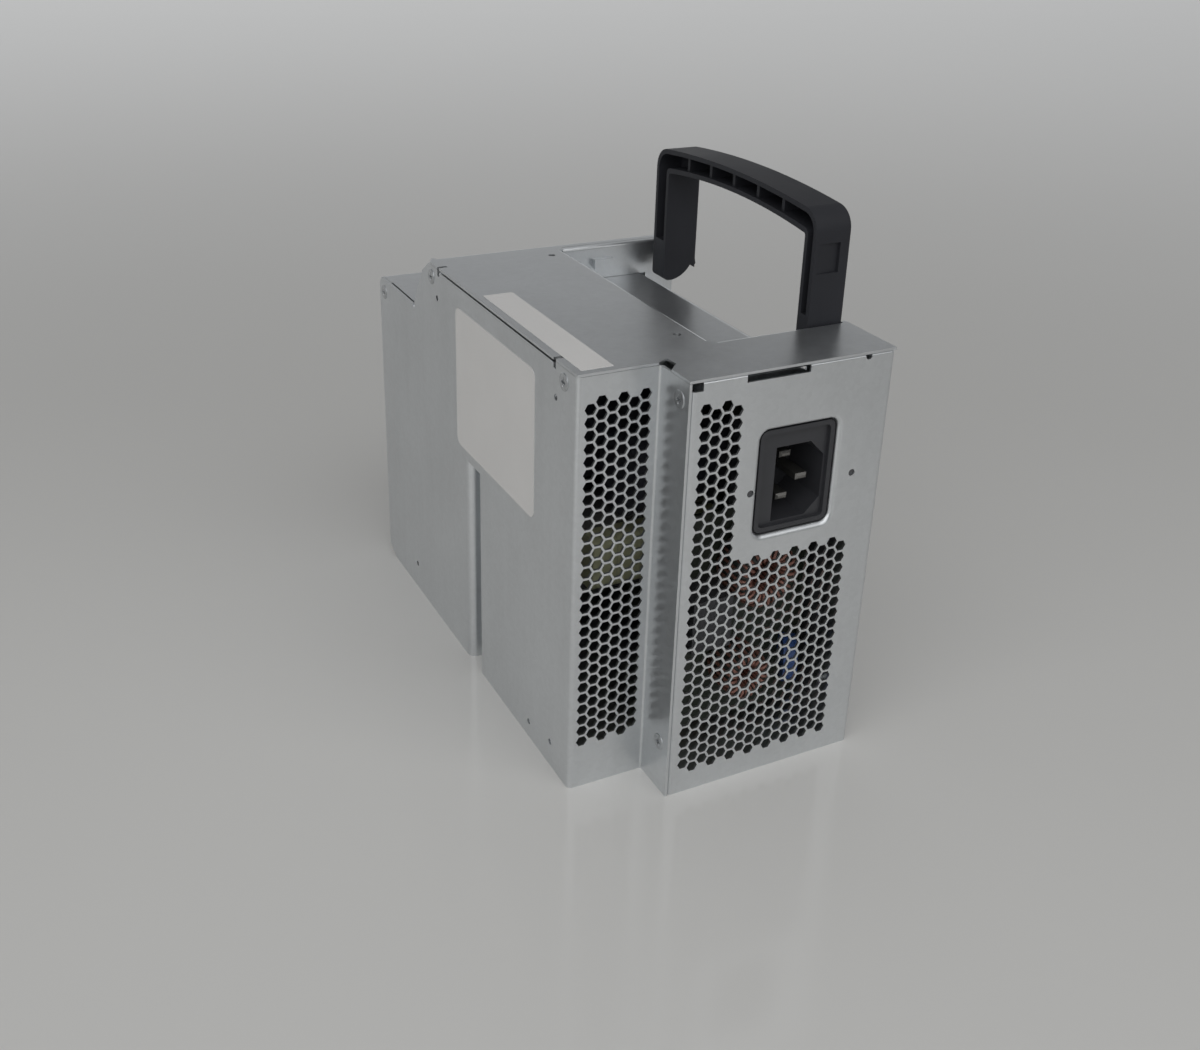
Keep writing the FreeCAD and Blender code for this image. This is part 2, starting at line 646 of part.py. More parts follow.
def make_handle():
    """Moulded bail: smooth outer face, ribbed hollow towards the bay, cam feet."""
    x0 = handle_x0
    x1 = handle_x1
    y0 = handle_y0
    y1 = handle_y1
    inner_round = handle_inner_corner
    body = handle_form(0, x0, x1, handle_corner, inner_round)
    face = [edge for edge in body.Edges
            if abs(edge.BoundBox.XMin - x1) < 1e-3 and abs(edge.BoundBox.XMax - x1) < 1e-3
            and edge.BoundBox.ZMax > handle_foot + 1]
    body = body.makeFillet(handle_edge, face)

    # Hollow side with cross ribs in the grip
    hollow = handle_form(handle_wall, x0 - 1, x0 + handle_hollow, handle_corner - handle_wall,
                         inner_round + handle_wall)
    hollow = hollow.cut(block(x0 - 2, x1, y0, y1, handle_foot - 1, case_height + 3.0))
    count = int((handle_length - handle_leg - handle_rear_leg) / handle_rib_pitch)
    first = (y0 + y1) / 2 - (count - 1) * handle_rib_pitch / 2
    for index in range(count):
        y = first + index * handle_rib_pitch
        hollow = hollow.cut(block(x0 + 1.2, x1, y - handle_rib / 2, y + handle_rib / 2,
                                  handle_shoulder - handle_grip - 2, handle_top))
    body = body.cut(hollow)

    # Feet: a small tooth at the outer edge and a concave cam cut below the pivot
    tooth = [(x1 - 1.0, pivot_z + 1.0), (x1, pivot_z + 0.4), (x1 + tooth_reach, pivot_z - 2.6),
             (x1 + tooth_reach, pivot_z - 6.0), (x1 - 1.0, pivot_z - 6.0)]
    edge = handle_edge + seam
    for leg_start, leg_end in ((y0, y0 + handle_leg), (y1 - handle_rear_leg, y1)):
        body = body.fuse(prism_y(tooth, leg_start + edge, leg_end - edge))
    start = y0 - 1
    notch_top = V(pivot_x + 2.8, start, pivot_z - 2.4)
    notch_middle = V(pivot_x - 0.1, start, pivot_z - 5.6)
    notch_end = V(x0 + 3.6, start, handle_foot)
    tooth_root = V(x1 - 0.2, start, pivot_z - 4.0)
    below = handle_foot - 4
    rim = Part.makePolygon([notch_end, V(notch_end.x, start, below), V(x1 + 4, start, below),
                            V(x1 + 4, start, pivot_z + 1.4), tooth_root, notch_top])
    cam = Part.Wire([Part.Arc(notch_top, notch_middle, notch_end).toShape()] + rim.Edges)
    body = body.cut(Part.Face(cam).extrude(V(0, handle_length + 2, 0))).removeSplitter()
    body = round_edges(body, 2.0, 1, [(x0, handle_foot)])

    # Pivot sockets and the ramped finger pads on the outer faces of the legs
    hole = pivot_radius + pivot_clearance
    sockets = [rod(hole, (pivot_x, y0 - 1, pivot_z), (0, 1, 0), pivot_depth + 1.2),
               rod(hole, (pivot_x, y1 - pivot_depth - 0.2, pivot_z), (0, 1, 0), pivot_depth + 1.2)]
    pad_z = case_height + handle_pad_rise
    pad_x0 = pivot_x - handle_pad_reach
    pad_x1 = pad_x0 + handle_pad_width
    pads = []
    for face, inwards in ((y0, 1), (y1, -1)):
        outside = face - inwards
        ramp = [(pad_x0, outside), (pad_x1, outside), (pad_x1, face + inwards * handle_pad_depth),
                (pad_x0, face + inwards * seam)]
        pads.append(prism_z(ramp, pad_z, pad_z + handle_pad))
    return body.cut(Part.makeCompound(sockets + pads))


def make_pivot_pins():
    """Headed pins held in the bay flanges, one for each leg."""
    along = (0, 1, 0)
    front_face = bay_front - sheet
    back_face = bay_back + sheet
    back_start = handle_y1 - pivot_depth
    front_head = rod(pivot_head_radius, (pivot_x, front_face - pivot_head, pivot_z), along, pivot_head)
    front_reach = handle_y0 + pivot_depth - front_face
    front_shank = rod(pivot_radius, (pivot_x, front_face, pivot_z), along, front_reach)
    back_head = rod(pivot_head_radius, (pivot_x, back_face, pivot_z), along, pivot_head)
    back_shank = rod(pivot_radius, (pivot_x, back_start, pivot_z), along, back_face - back_start)
    return Part.makeCompound([fuse([front_head, front_shank]), fuse([back_head, back_shank])])


def make_spacer():
    """Sleeve between the rear leg of the handle and the rear flange."""
    start = bay_back - spacer_length
    along = (0, 1, 0)
    bore = pivot_radius + pivot_clearance
    sleeve = rod(bore + spacer_wall, (pivot_x, start, pivot_z), along, spacer_length)
    return sleeve.cut(rod(bore, (pivot_x, start - 1, pivot_z), along, spacer_length + 2))


def socket_outline(margin, y):
    """Mains socket: a tall rectangle with two bevelled corners on the earth side."""
    x0 = inlet_x - socket_width / 2 - margin
    x1 = inlet_x + socket_width / 2 + margin
    z0 = inlet_z - socket_height / 2 - margin
    z1 = inlet_z + socket_height / 2 + margin
    bevel = socket_bevel
    return [(x0, y, z0), (x1 - bevel, y, z0), (x1, y, z0 + bevel), (x1, y, z1 - bevel), (x1 - bevel, y, z1),
            (x0, y, z1)]


def make_inlet_body():
    """Moulded inlet: raised flange behind the opening and a deep socket."""
    face = front + inlet_dish + seam
    half_w = inlet_open_width / 2
    half_h = inlet_open_height / 2
    reach = inlet_flange_margin
    flange = opening_block(half_w + reach, half_h + reach, face, face + inlet_flange, 2.0)
    ears = block(inlet_x - rivet_spacing / 2 - 3, inlet_x + rivet_spacing / 2 + 3, face, face + inlet_flange,
                 inlet_z - 4, inlet_z + 4)
    rim = opening_block(half_w - 0.5, half_h - 0.5, face - 1.2, face, inlet_open_corner - 0.5)
    well = opening_block(half_w - 2.0, half_h - 2.0, face - 2, face, 1.5)
    shell = prism(socket_outline(socket_wall, face), (0, socket_depth + 2.5, 0))
    body = fuse([flange, ears, rim.cut(well), shell])
    body = body.cut(prism(socket_outline(0, face - 2), (0, socket_depth + 2, 0)))
    rivet_holes = [rod(rivet_radius + seam, (inlet_x + s * rivet_spacing / 2, face - 1, inlet_z),
                       (0, 1, 0), 5) for s in (-1, 1)]
    return body.cut(Part.makeCompound(rivet_holes + make_blades(0.02)))


def make_blades(extra=0.0):
    """Three flat contact blades that run through the back of the socket, the earth one longest."""
    floor = front + inlet_dish + seam + socket_depth
    row_x = inlet_x - blade_row
    places = [(row_x, inlet_z + blade_spacing / 2, 0), (row_x, inlet_z - blade_spacing / 2, 0),
              (row_x + earth_offset, inlet_z, earth_lead)]
    half_w = blade_width / 2 + extra
    half_t = blade_thickness / 2 + extra
    blades = []
    for x, z, lead in places:
        tip = floor - blade_length - lead
        blade = block(x - half_w, x + half_w, tip, floor + blade_tail, z - half_t, z + half_t)
        front_edges = [edge for edge in blade.Edges if edge.BoundBox.YMax < tip + seam]
        blades.append(blade.makeChamfer(blade_bevel, front_edges))
    return blades


def make_inlet_rivets():
    face = front + inlet_dish + seam
    rivets = []
    for side in (-1, 1):
        x = inlet_x + side * rivet_spacing / 2
        start = front + rivet_recess
        shank = rod(rivet_radius, (x, start, inlet_z), (0, 1, 0), face + inlet_flange - start)
        clinch = rod(rivet_radius + 0.9, (x, face + inlet_flange, inlet_z), (0, 1, 0), 0.8)
        rivets.append(fuse([shank, clinch]))
    return Part.makeCompound(rivets)


def make_label(thin_axis, corner, size, radius):
    """Paper label as a thin plate with rounded corners."""
    x, y, z = corner
    plate = Part.makeBox(size[0], size[1], size[2], V(x, y, z))
    others = [i for i in range(3) if i != thin_axis]
    low = [corner[i] for i in others]
    high = [corner[i] + size[i] for i in others]
    corners = [(low[0], low[1]), (low[0], high[1]), (high[0], low[1]), (high[0], high[1])]
    return round_edges(plate, radius, thin_axis, corners) if radius else plate


# Places inside the case
board_x1 = wall_right - sheet - standoff_length
board_x0 = board_x1 - board_thickness
filter_y0 = front + 23.0
filter_y1 = filter_y0 + board_thickness
board_y0 = filter_y0 - 2.0
board_y1 = fan_front - 4.0
board_z0 = 8.0
board_z1 = deck - 7.0
standoff_places = [(y, z) for y in (board_y0 + 12, board_y1 - 5) for z in (board_z0 + 5, board_z1 - 5)]
dock_y = back - 45.0
filter_top = inlet_z - socket_height / 2 - socket_wall - 3.4
core_front = front + 61.0
core_top = core_foot + core_height
sink_y = board_y1 - 39.0
second_sink_y = board_y1 - 16.0


def make_main_board():
    body = block(board_x0, board_x1, board_y0, board_y1, board_z0, board_z1)
    return body.cut(Part.makeCompound([hex_rod(2 * screw_shank + seam, (board_x0 - 1, y, z), (1, 0, 0), 4)
                                       for y, z in standoff_places]))


def make_standoffs():
    """Hexagonal spacers between the right wall and the board, bored for the board screws."""
    posts = []
    for y, z in standoff_places:
        post = hex_rod(2 * standoff_radius, (board_x1, y, z), (1, 0, 0), standoff_length)
        posts.append(post.cut(hex_rod(2 * screw_shank + seam, (board_x1 - 1, y, z), (1, 0, 0), 5)))
    return Part.makeCompound(posts)


def make_board_screws():
    """Hexagon-headed screws that hold the board to its spacers."""
    screws = []
    for y, z in standoff_places:
        head = hex_rod(2 * screw_head_radius, (board_x0, y, z), (-1, 0, 0), 2.0)
        shank = hex_rod(2 * screw_shank * math.cos(math.pi / 6), (board_x0, y, z), (1, 0, 0), 5.0)
        screws.append(fuse([head, shank]))
    return Part.makeCompound(screws)


def make_insulation():
    """Thin sheet between the board and the right wall, cleared round the spacers."""
    x1 = wall_right - sheet
    body = block(x1 - 0.3, x1, board_y0 - 2, board_y1 + 2, board_z0 - 2, board_z1 + 2)
    return body.cut(Part.makeCompound([hex_rod(2 * standoff_radius + 0.6, (x1 - 1, y, z), (1, 0, 0), 2)
                                       for y, z in standoff_places]))


def ring(centre, axis, outer, inner, depth):
    """Wound ring core with one flat face on its board."""
    start = tuple(c - a * depth / 2 for c, a in zip(centre, axis))
    return rod(outer, start, axis, depth).cut(rod(inner, start, axis, depth))


def make_heat_sink(y, fin_count, height, z0, z1):
    """Upright plate on the board with a row of fins on its rear face."""
    plate = block(board_x0 - height, board_x0, y, y + 3.0, z0, z1)
    pitch = (height - 4) / fin_count
    starts = [board_x0 - height + 1 + index * pitch for index in range(fin_count)]
    return fuse([plate] + [block(x, x + 1.4, y + 3.0, y + 12.0, z0, z1) for x in starts])


def make_fan_frame():
    """Square frame with a round duct, a motor base on four struts and a bearing tube."""
    y1 = fan_front + fan_depth
    y0 = fan_front
    half = fan_size / 2
    body = block(-half, half, y0, y1, fan_centre_z - half, fan_centre_z + half)
    corners = [(sx * half, fan_centre_z + sz * half) for sx in (-1, 1) for sz in (-1, 1)]
    body = round_edges(body, 4.0, 1, corners)
    body = body.cut(rod(fan_bore_radius, (0, y0 - 1, fan_centre_z), (0, 1, 0), fan_depth + 2))
    base = rod(fan_hub_radius, (0, y1 - 3.0, fan_centre_z), (0, 1, 0), 3.0)
    struts = [block(-2, 2, y1 - 3.0, y1, fan_centre_z + fan_hub_radius - 3,
                    fan_centre_z + fan_bore_radius + fan_wall / 2)]
    for turn in (1, 2, 3):
        strut = struts[0].copy()
        strut.rotate(V(0, 0, fan_centre_z), V(0, 1, 0), 90 * turn)
        struts.append(strut)
    tube = rod(4.0, (0, y1 - 14.0, fan_centre_z), (0, 1, 0), 12.0)
    body = fuse([body, base, tube] + struts)
    screws = [rod(screw_shank + screw_clearance, (x, y0 - 1, z), (0, 1, 0), fan_depth + 2)
              for x, _, z in fan_screw_places]
    bearing = rod(fan_shaft_radius + pivot_clearance, (0, y1 - 15.0, fan_centre_z), (0, 1, 0), 13.0)
    return body.cut(Part.makeCompound(screws + [bearing]))


def make_fan_rotor():
    """Cup-shaped hub with swept blades and the shaft that runs in the bearing tube."""
    y0 = fan_front + 1.5
    cup = rod(fan_hub_radius - 0.5, (0, y0, fan_centre_z), (0, 1, 0), 19.5)
    cup = cup.cut(rod(fan_hub_radius - 2.5, (0, y0 + 2, fan_centre_z), (0, 1, 0), 20))
    shaft = rod(fan_shaft_radius, (0, y0 + 1, fan_centre_z), (0, 1, 0), 19.0)
    parts = [cup, shaft]
    middle = y0 + 9.5
    for index in range(fan_blades):
        root = blade_section(fan_hub_radius - 1.2, 7.0, 42.0, middle)
        tip = blade_section(fan_blade_radius, 9.5, 58.0, middle)
        blade = Part.makeLoft([root, tip], True, True)
        blade.rotate(V(0, 0, fan_centre_z), V(0, 1, 0), 360.0 * index / fan_blades)
        parts.append(blade)
    return fuse(parts)


def blade_section(radius, half_chord, pitch, middle):
    """Thin slanted rectangle across one fan blade at a given radius."""
    lean = math.radians(pitch)
    along = V(math.sin(lean), math.cos(lean), 0)
    across = V(math.cos(lean), -math.sin(lean), 0)
    centre = V(0, middle, fan_centre_z + radius)
    half_thick = 0.7
    corners = [centre + along * (half_chord * a) + across * (half_thick * b)
               for a, b in ((-1, -1), (1, -1), (1, 1), (-1, 1))]
    return Part.makePolygon(corners + [corners[0]])


def make_lead(points, radius, bend):
    """Insulated lead: straight runs joined by tangent bends."""
    edges = []
    previous = V(*points[0])
    for index in range(1, len(points) - 1):
        corner = V(*points[index])
        before = (V(*points[index - 1]) - corner).normalize()
        after = (V(*points[index + 1]) - corner).normalize()
        half = before.getAngle(after) / 2
        reach = bend / math.tan(half)
        start = corner + before * reach
        end = corner + after * reach
        inward = (before + after).normalize()
        middle = corner + inward * (bend / math.sin(half) - bend)
        edges.append(Part.makeLine(previous, start))
        edges.append(Part.Arc(start, middle, end).toShape())
        previous = end
    edges.append(Part.makeLine(previous, V(*points[-1])))
    x, y, z = points[0]
    turns = [math.radians(60 * i) for i in range(7)]
    section = Part.makePolygon([V(x + radius * math.cos(a), y, z + radius * math.sin(a)) for a in turns])
    return Part.Wire(edges).makePipeShell([section], True, False)


def make_inlet_leads():
    """Leads from the tails of the blades down to the filter board."""
    tail = front + inlet_dish + seam + socket_depth + blade_tail
    row_x = inlet_x - blade_row
    half = blade_spacing / 2
    low = filter_top - 16.0
    high = filter_top - 10.0
    runs = [(row_x, inlet_z + half, 11.0, low), (row_x, inlet_z - half, 6.0, high),
            (row_x + earth_offset, inlet_z, 8.0, high)]
    leads = []
    for x, z, behind, foot in runs:
        y = filter_y1 + behind
        leads.append(make_lead([(x, tail, z), (x, y, z), (x, y, foot), (x, filter_y1, foot)], 1.3, 3.0))
    return Part.makeCompound(leads)


def make_transformer():
    """Ferrite core with two windows and the taped winding on its middle leg."""
    x1 = board_x0
    x0 = x1 - core_reach
    y0 = core_front
    y1 = y0 + core_length
    z0 = core_foot
    z1 = core_top
    core_y0, core_y1 = y0 + 9.0, y1 - 9.0
    core = block(x0, x1, core_y0, core_y1, z0, z1)
    window = core_window
    leg = core_leg
    openings = [block(x0 + leg, x1 - leg, core_y0 - 1, core_y1 + 1, z0 + leg, z0 + leg + window),
                block(x0 + leg, x1 - leg, core_y0 - 1, core_y1 + 1, z1 - leg - window, z1 - leg)]
    core = core.cut(Part.makeCompound(openings))
    gap = 0.3
    coil = block(x0 + leg + gap, x1 - leg - gap, y0, y1, z0 + leg + gap, z1 - leg - gap)
    rounding = [(y, z) for y in (y0, y1) for z in (z0 + leg + gap, z1 - leg - gap)]
    coil = round_edges(coil, 3.0, 0, rounding)
    hole = block(x0 + leg - 1, x1 - leg + 1, core_y0, core_y1, z0 + leg + window, z1 - leg - window)
    return core, coil.cut(hole)


def make_varistor(x, z):
    """Disc on a short foot, standing off the filter board and turned a little to the left."""
    half = 2.25
    radius = 8.0
    turn = 28.0
    disc = rod(radius, (x - half, filter_y0 - radius, z), (1, 0, 0), 2 * half)
    disc.rotate(V(x, filter_y0 - radius, z), V(0, 0, 1), -turn)
    foot_x = x + radius * math.sin(math.radians(turn)) - half
    foot = block(foot_x, foot_x + half, filter_y0 - 4.0, filter_y0, z - 4.0, z + 4.0)
    return fuse([disc, foot])


def output_blades():
    """Two rows of flat contacts that stand in the dock."""
    contacts = []
    for row in (-1, 1):
        for index in range(8):
            x = -dock_length / 2 + 6 + index * (dock_length - 12) / 7
            contacts.append((x, dock_y + row * 3.0))
    return contacts


def make_output_connector():
    """Recessed docking connector in the bottom, one pocket for each contact."""
    gap = 0.3
    half_l = dock_length / 2
    half_w = dock_width / 2
    body = fuse([block(-half_l + gap, half_l - gap, dock_y - half_w + gap, dock_y + half_w - gap, 0.3, 16),
                 block(-half_l - 3, half_l + 3, dock_y - half_w - 2, dock_y + half_w + 2, sheet, 3.2)])
    pockets = [block(x - 2.4, x + 2.4, y - 1.8, y + 1.8, 0, 12) for x, y in output_blades()]
    slots = [block(x - 1.62, x + 1.62, y - 0.42, y + 0.42, 11, 17) for x, y in output_blades()]
    return body.cut(Part.makeCompound(pockets + slots))


def make_output_contacts():
    return Part.makeCompound([block(x - 1.6, x + 1.6, y - 0.4, y + 0.4, 4, 20) for x, y in output_blades()])


def make_bus_bars():
    """Copper straps from the contact rows up to the board edge."""
    bars = []
    for row, z in ((-1, 20.0), (1, 20.0)):
        y = dock_y + row * 3.0
        x0 = -dock_length / 2 + 4
        flat = block(x0, board_x0, y - 1.6, y + 1.6, z, z + 1.5)
        bars.append(flat)
    return Part.makeCompound(bars)


def make_pieces():
    pieces = {}
    pieces["side_wrap"] = make_side_wrap()
    pieces["inlet_panel"] = make_inlet_panel()
    pieces["base_pan"] = make_base_pan()
    pieces["top_cover"] = make_top_cover()
    pieces["handle_tray"] = make_handle_tray()
    pieces["shelf_cover"] = make_shelf_cover()
    pieces["rear_panel"] = make_rear_panel()
    pieces["handle"] = make_handle()
    pieces["handle_pivot_pins"] = make_pivot_pins()
    pieces["handle_spacer"] = make_spacer()
    pieces["inlet_body"] = make_inlet_body()
    pieces["inlet_pins"] = Part.makeCompound(make_blades())
    pieces["inlet_rivets"] = make_inlet_rivets()
    pieces["rating_label"] = make_label(0, (left - label_thickness, front + 43.6, groove_height + 3.5),
                                        (label_thickness, rating_label_length, rating_label_height), 3.0)
    pieces["top_label"] = make_label(2, (left + 2.4, step_y + 2.6, case_height),
                                     (top_label_width, top_label_length, label_thickness), 0)
    pieces["cover_screws"] = Part.makeCompound([screw(p, (1, 0, 0)) for p in ear_screws])
    pieces["step_screws"] = Part.makeCompound([screw(p, (1, 0, 0)) for p in step_screw_places])
    pieces["shelf_screw"] = screw(shelf_screw_places[0], (1, 0, 0))
    pieces["side_screws"] = Part.makeCompound([screw(p, (-1, 0, 0)) for p in side_screw_places])
    pieces["rear_screws"] = Part.makeCompound([screw(p, (-1, 0, 0)) for p in rear_screw_places])
    pieces["fan_frame"] = make_fan_frame()
    pieces["fan_rotor"] = make_fan_rotor()
    pieces["fan_screws"] = Part.makeCompound([screw(p, (0, -1, 0), 12.0) for p in fan_screw_places])
    pieces["main_board"] = make_main_board()
    pieces["board_standoffs"] = make_standoffs()
    pieces["insulation_sheet"] = make_insulation()
    pieces["board_screws"] = make_board_screws()
    pieces["filter_board"] = block(step_x + 6, board_x0, filter_y0, filter_y1, 6.0, filter_top)
    along = (0, 1, 0)
    from_board = (-1, 0, 0)
    pieces["pfc_choke"] = ring((board_x0 - 23.0, filter_y0 - 8.0, filter_top - 18.0), along, 11.5, 5.0, 16.0)
    pieces["emi_choke"] = ring((board_x0 - 26.5, filter_y0 - 7.5, 29.4), along, 8.5, 3.5, 15.0)
    pieces["varistor"] = make_varistor(board_x0 - 7.3, 28.3)
    box_x = board_x0 - 48.7
    pieces["x_capacitor"] = block(box_x, box_x + 14.0, filter_y0 - 14.0, filter_y0, 44.0, 62.0)
    pieces["inlet_leads"] = make_inlet_leads()
    core, coil = make_transformer()
    pieces["transformer_core"] = core
    pieces["transformer_winding"] = coil
    can_z = core_top + can_radius + 0.7
    cans = [core_front + 6.0, core_front + 10.0 + 2 * can_radius]
    can_rods = [rod(can_radius, (board_x0, y, can_z), from_board, can_length) for y in cans]
    pieces["bulk_capacitors"] = Part.makeCompound(can_rods)
    pieces["bridge_heat_sink"] = make_heat_sink(sink_y, 5, 44.0, 42.0, deck - 11.0)
    pieces["output_heat_sink"] = make_heat_sink(second_sink_y, 5, 44.0, 42.0, deck - 21.0)
    packages = [block(board_x0 - x, board_x0 - x + 10, y - 4.5, y, 48, 64)
                for y in (sink_y, second_sink_y) for x in (34.7, 18.7)]
    pieces["power_transistors"] = Part.makeCompound(packages)
    pieces["output_choke"] = ring((board_x0 - 6.5, core_front + 2.0, 20.0), (1, 0, 0), 11.0, 5.0, 13.0)
    small_cans = [(sink_y + y, z) for y in (-11.0, 1.0, 13.0) for z in (16.0, 30.0)]
    pieces["output_capacitors"] = Part.makeCompound([rod(5.0, (board_x0, y, z), from_board, 25.0)
                                                     for y, z in small_cans])
    card_y = core_front + 22.0
    card_top = core_foot - 1.4
    pieces["control_board"] = block(board_x0 - 30.0, board_x0, card_y, card_y + 1.2, 10.0, card_top)
    pieces["output_connector"] = make_output_connector()
    pieces["output_contacts"] = make_output_contacts()
    pieces["output_bus_bars"] = make_bus_bars()
    return pieces


def main():
    os.makedirs("parts", exist_ok=True)
    for name, shape in make_pieces().items():
        shape.exportStep(os.path.join("parts", name + ".step"))


main()
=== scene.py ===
import math

import bmesh
import bpy
import numpy as np
from bpy.props import FloatProperty, FloatVectorProperty, IntProperty, PointerProperty
from bpy.types import Operator, Panel, PropertyGroup
from mathutils import Matrix, Vector


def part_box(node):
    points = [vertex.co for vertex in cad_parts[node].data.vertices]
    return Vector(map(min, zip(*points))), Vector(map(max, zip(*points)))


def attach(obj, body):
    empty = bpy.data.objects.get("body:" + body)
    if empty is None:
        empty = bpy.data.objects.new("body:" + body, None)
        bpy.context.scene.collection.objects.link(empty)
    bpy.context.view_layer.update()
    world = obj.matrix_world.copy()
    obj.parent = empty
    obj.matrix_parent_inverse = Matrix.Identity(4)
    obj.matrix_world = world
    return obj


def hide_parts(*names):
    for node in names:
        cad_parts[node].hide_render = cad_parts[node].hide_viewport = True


bl_info = {
    "name": "Workstation power supply looks",
    "version": (1, 0, 0),
    "blender": (4, 5, 0),
    "location": "View3D > Sidebar > Power supply",
    "description": "Finishes, small fittings and studio for a sheet-steel power supply with a folding handle",
    "category": "Object",
}

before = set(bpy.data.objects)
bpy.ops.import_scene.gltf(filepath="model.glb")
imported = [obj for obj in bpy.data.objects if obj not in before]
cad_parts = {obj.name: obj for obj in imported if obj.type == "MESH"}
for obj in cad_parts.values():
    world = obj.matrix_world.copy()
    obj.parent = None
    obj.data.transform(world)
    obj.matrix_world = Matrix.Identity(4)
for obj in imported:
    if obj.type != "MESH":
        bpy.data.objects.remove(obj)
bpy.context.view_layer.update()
MM = 0.001

# Widths of the features that show in the finishes, in metres
SPANGLE = 1.5 * MM
DULL_PATCH = 30 * MM
ROLLING_STREAK = 5 * MM
SHEET_GRAIN = 0.5 * MM
SCREW_WEAR_AND_SHADE = 1.2 * MM
SPARK_EROSION = 0.35 * MM
HANDLING_SHINE = 18 * MM
TAPE_TURN = 9 * MM
TAPE_CLOUD = 3 * MM
LABEL_CLOUD = 16 * MM
LABEL_FIBRE = 0.4 * MM
WIRE_MOTTLE = 2 * MM

# Streaks run up the sheet, so they are stretched along Z
UP_THE_SHEET = (1.0, 1.0, 0.08)

# Screws: points over the crown and round the axis, and the shape of the head as shares of its size
CROWN_POINTS = 18
SCREW_SIDES = 64
CROWN_REACH = 0.94
CROWN_FALL = 0.4
RIM_HEIGHT = 0.35
RECESS_SIDE_SLOPE = 0.1 * MM
RECESS_END_SLOPE = 0.15 * MM

# Points of a surface nearer than this are one point
MERGE_DISTANCE = 1e-7

# Wound rings: points round a section and round the ring, along one turn and round the wire
CORE_SECTION_POINTS = 24
CORE_RING_POINTS = 48
POINTS_PER_TURN = 18
WIRE_SIDES = 6
SQUARENESS = 0.6

# Soft lights: place, width of the disc in metres, power in watts; all of them aim at the middle of the case
LAMPS = {
    "key": ((-1.25, -0.95, 1.05), 2.2, 13.0),
    "front": ((0.35, -1.50, 1.30), 2.2, 12.6),
    "top": ((0.2, -0.2, 2.1), 1.2, 1.0),
}
LAMP_TARGET = Vector((0.0, 0.0, 0.08))

# Dome: how pale it is along the horizon, overhead and between, where each pale band starts to fade and over
# what height, and its gain all round and from front to back
HORIZON_LEVEL = 0.42
OVERHEAD_LEVEL = 0.30
BETWEEN_LEVEL = 0.10
HORIZON_FADE = (0.16, 0.20)
OVERHEAD_FADE = (0.55, 0.35)
GAIN_ALL_ROUND = 0.92
GAIN_BEHIND = 0.70
DOME_COLOUR = (0.98, 0.99, 1.0, 1.0)

# Camera: the photograph's width and focal length in pixels, a sensor in millimetres, the camera's right, down
# and ahead in the frame of the case, its eye in metres, and the shift of the picture
PICTURE_WIDTH = 1200
FOCAL_PIXELS = 1332.3
SENSOR_WIDTH = 36.0
CAMERA_RIGHT = Vector((0.89099, -0.45311, 0.02884))
CAMERA_DOWN = Vector((-0.16726, -0.38661, -0.90695))
CAMERA_AHEAD = Vector((0.42210, 0.80326, -0.42025))
CAMERA_EYE = Vector((-198.43, -377.82, 272.80)) * MM
CAMERA_SHIFT = -0.06


# Shader maths

class Sock:
    """A shader socket that takes part in Python expressions on values."""

    def __init__(self, nodes, socket):
        self.nodes = nodes
        self.socket = socket

    def math(self, operation, other=None, clamp=False):
        settings = {"operation": operation, "use_clamp": clamp}
        places = {0: self} if other is None else {0: self, 1: other}
        return self.nodes.add("Math", settings, places=places)

    def __add__(self, other):
        return self.math("ADD", other)

    __radd__ = __add__

    def __mul__(self, other):
        return self.math("MULTIPLY", other)

    __rmul__ = __mul__

    def __sub__(self, other):
        return self.math("SUBTRACT", other)

    def __rsub__(self, other):
        return self * -1.0 + other

    def __truediv__(self, other):
        return self.math("DIVIDE", other)

    def clamped(self):
        return self.math("MULTIPLY", 1.0, clamp=True)

    def above(self, edge, soft):
        """0 below edge, rising to 1 over the width soft."""
        return ((self - edge) / soft).clamped()


class Nodes:
    """A node tree that gains nodes through one method."""

    def __init__(self, tree):
        self.tree = tree

    def link(self, value, socket):
        if isinstance(value, Sock):
            self.tree.links.new(value.socket, socket)
        else:
            socket.default_value = value

    def add(self, kind, settings=None, output=0, places=None, **sockets):
        """Adds a node: its settings first, then its sockets by place or by name."""
        made = self.tree.nodes.new("ShaderNode" + kind)
        for key, value in (settings or {}).items():
            setattr(made, key, value)
        for index, value in (places or {}).items():
            self.link(value, made.inputs[index])
        for key, value in sockets.items():
            self.link(value, made.inputs[key.replace("_", " ")])
        return Sock(self, made.outputs[output])


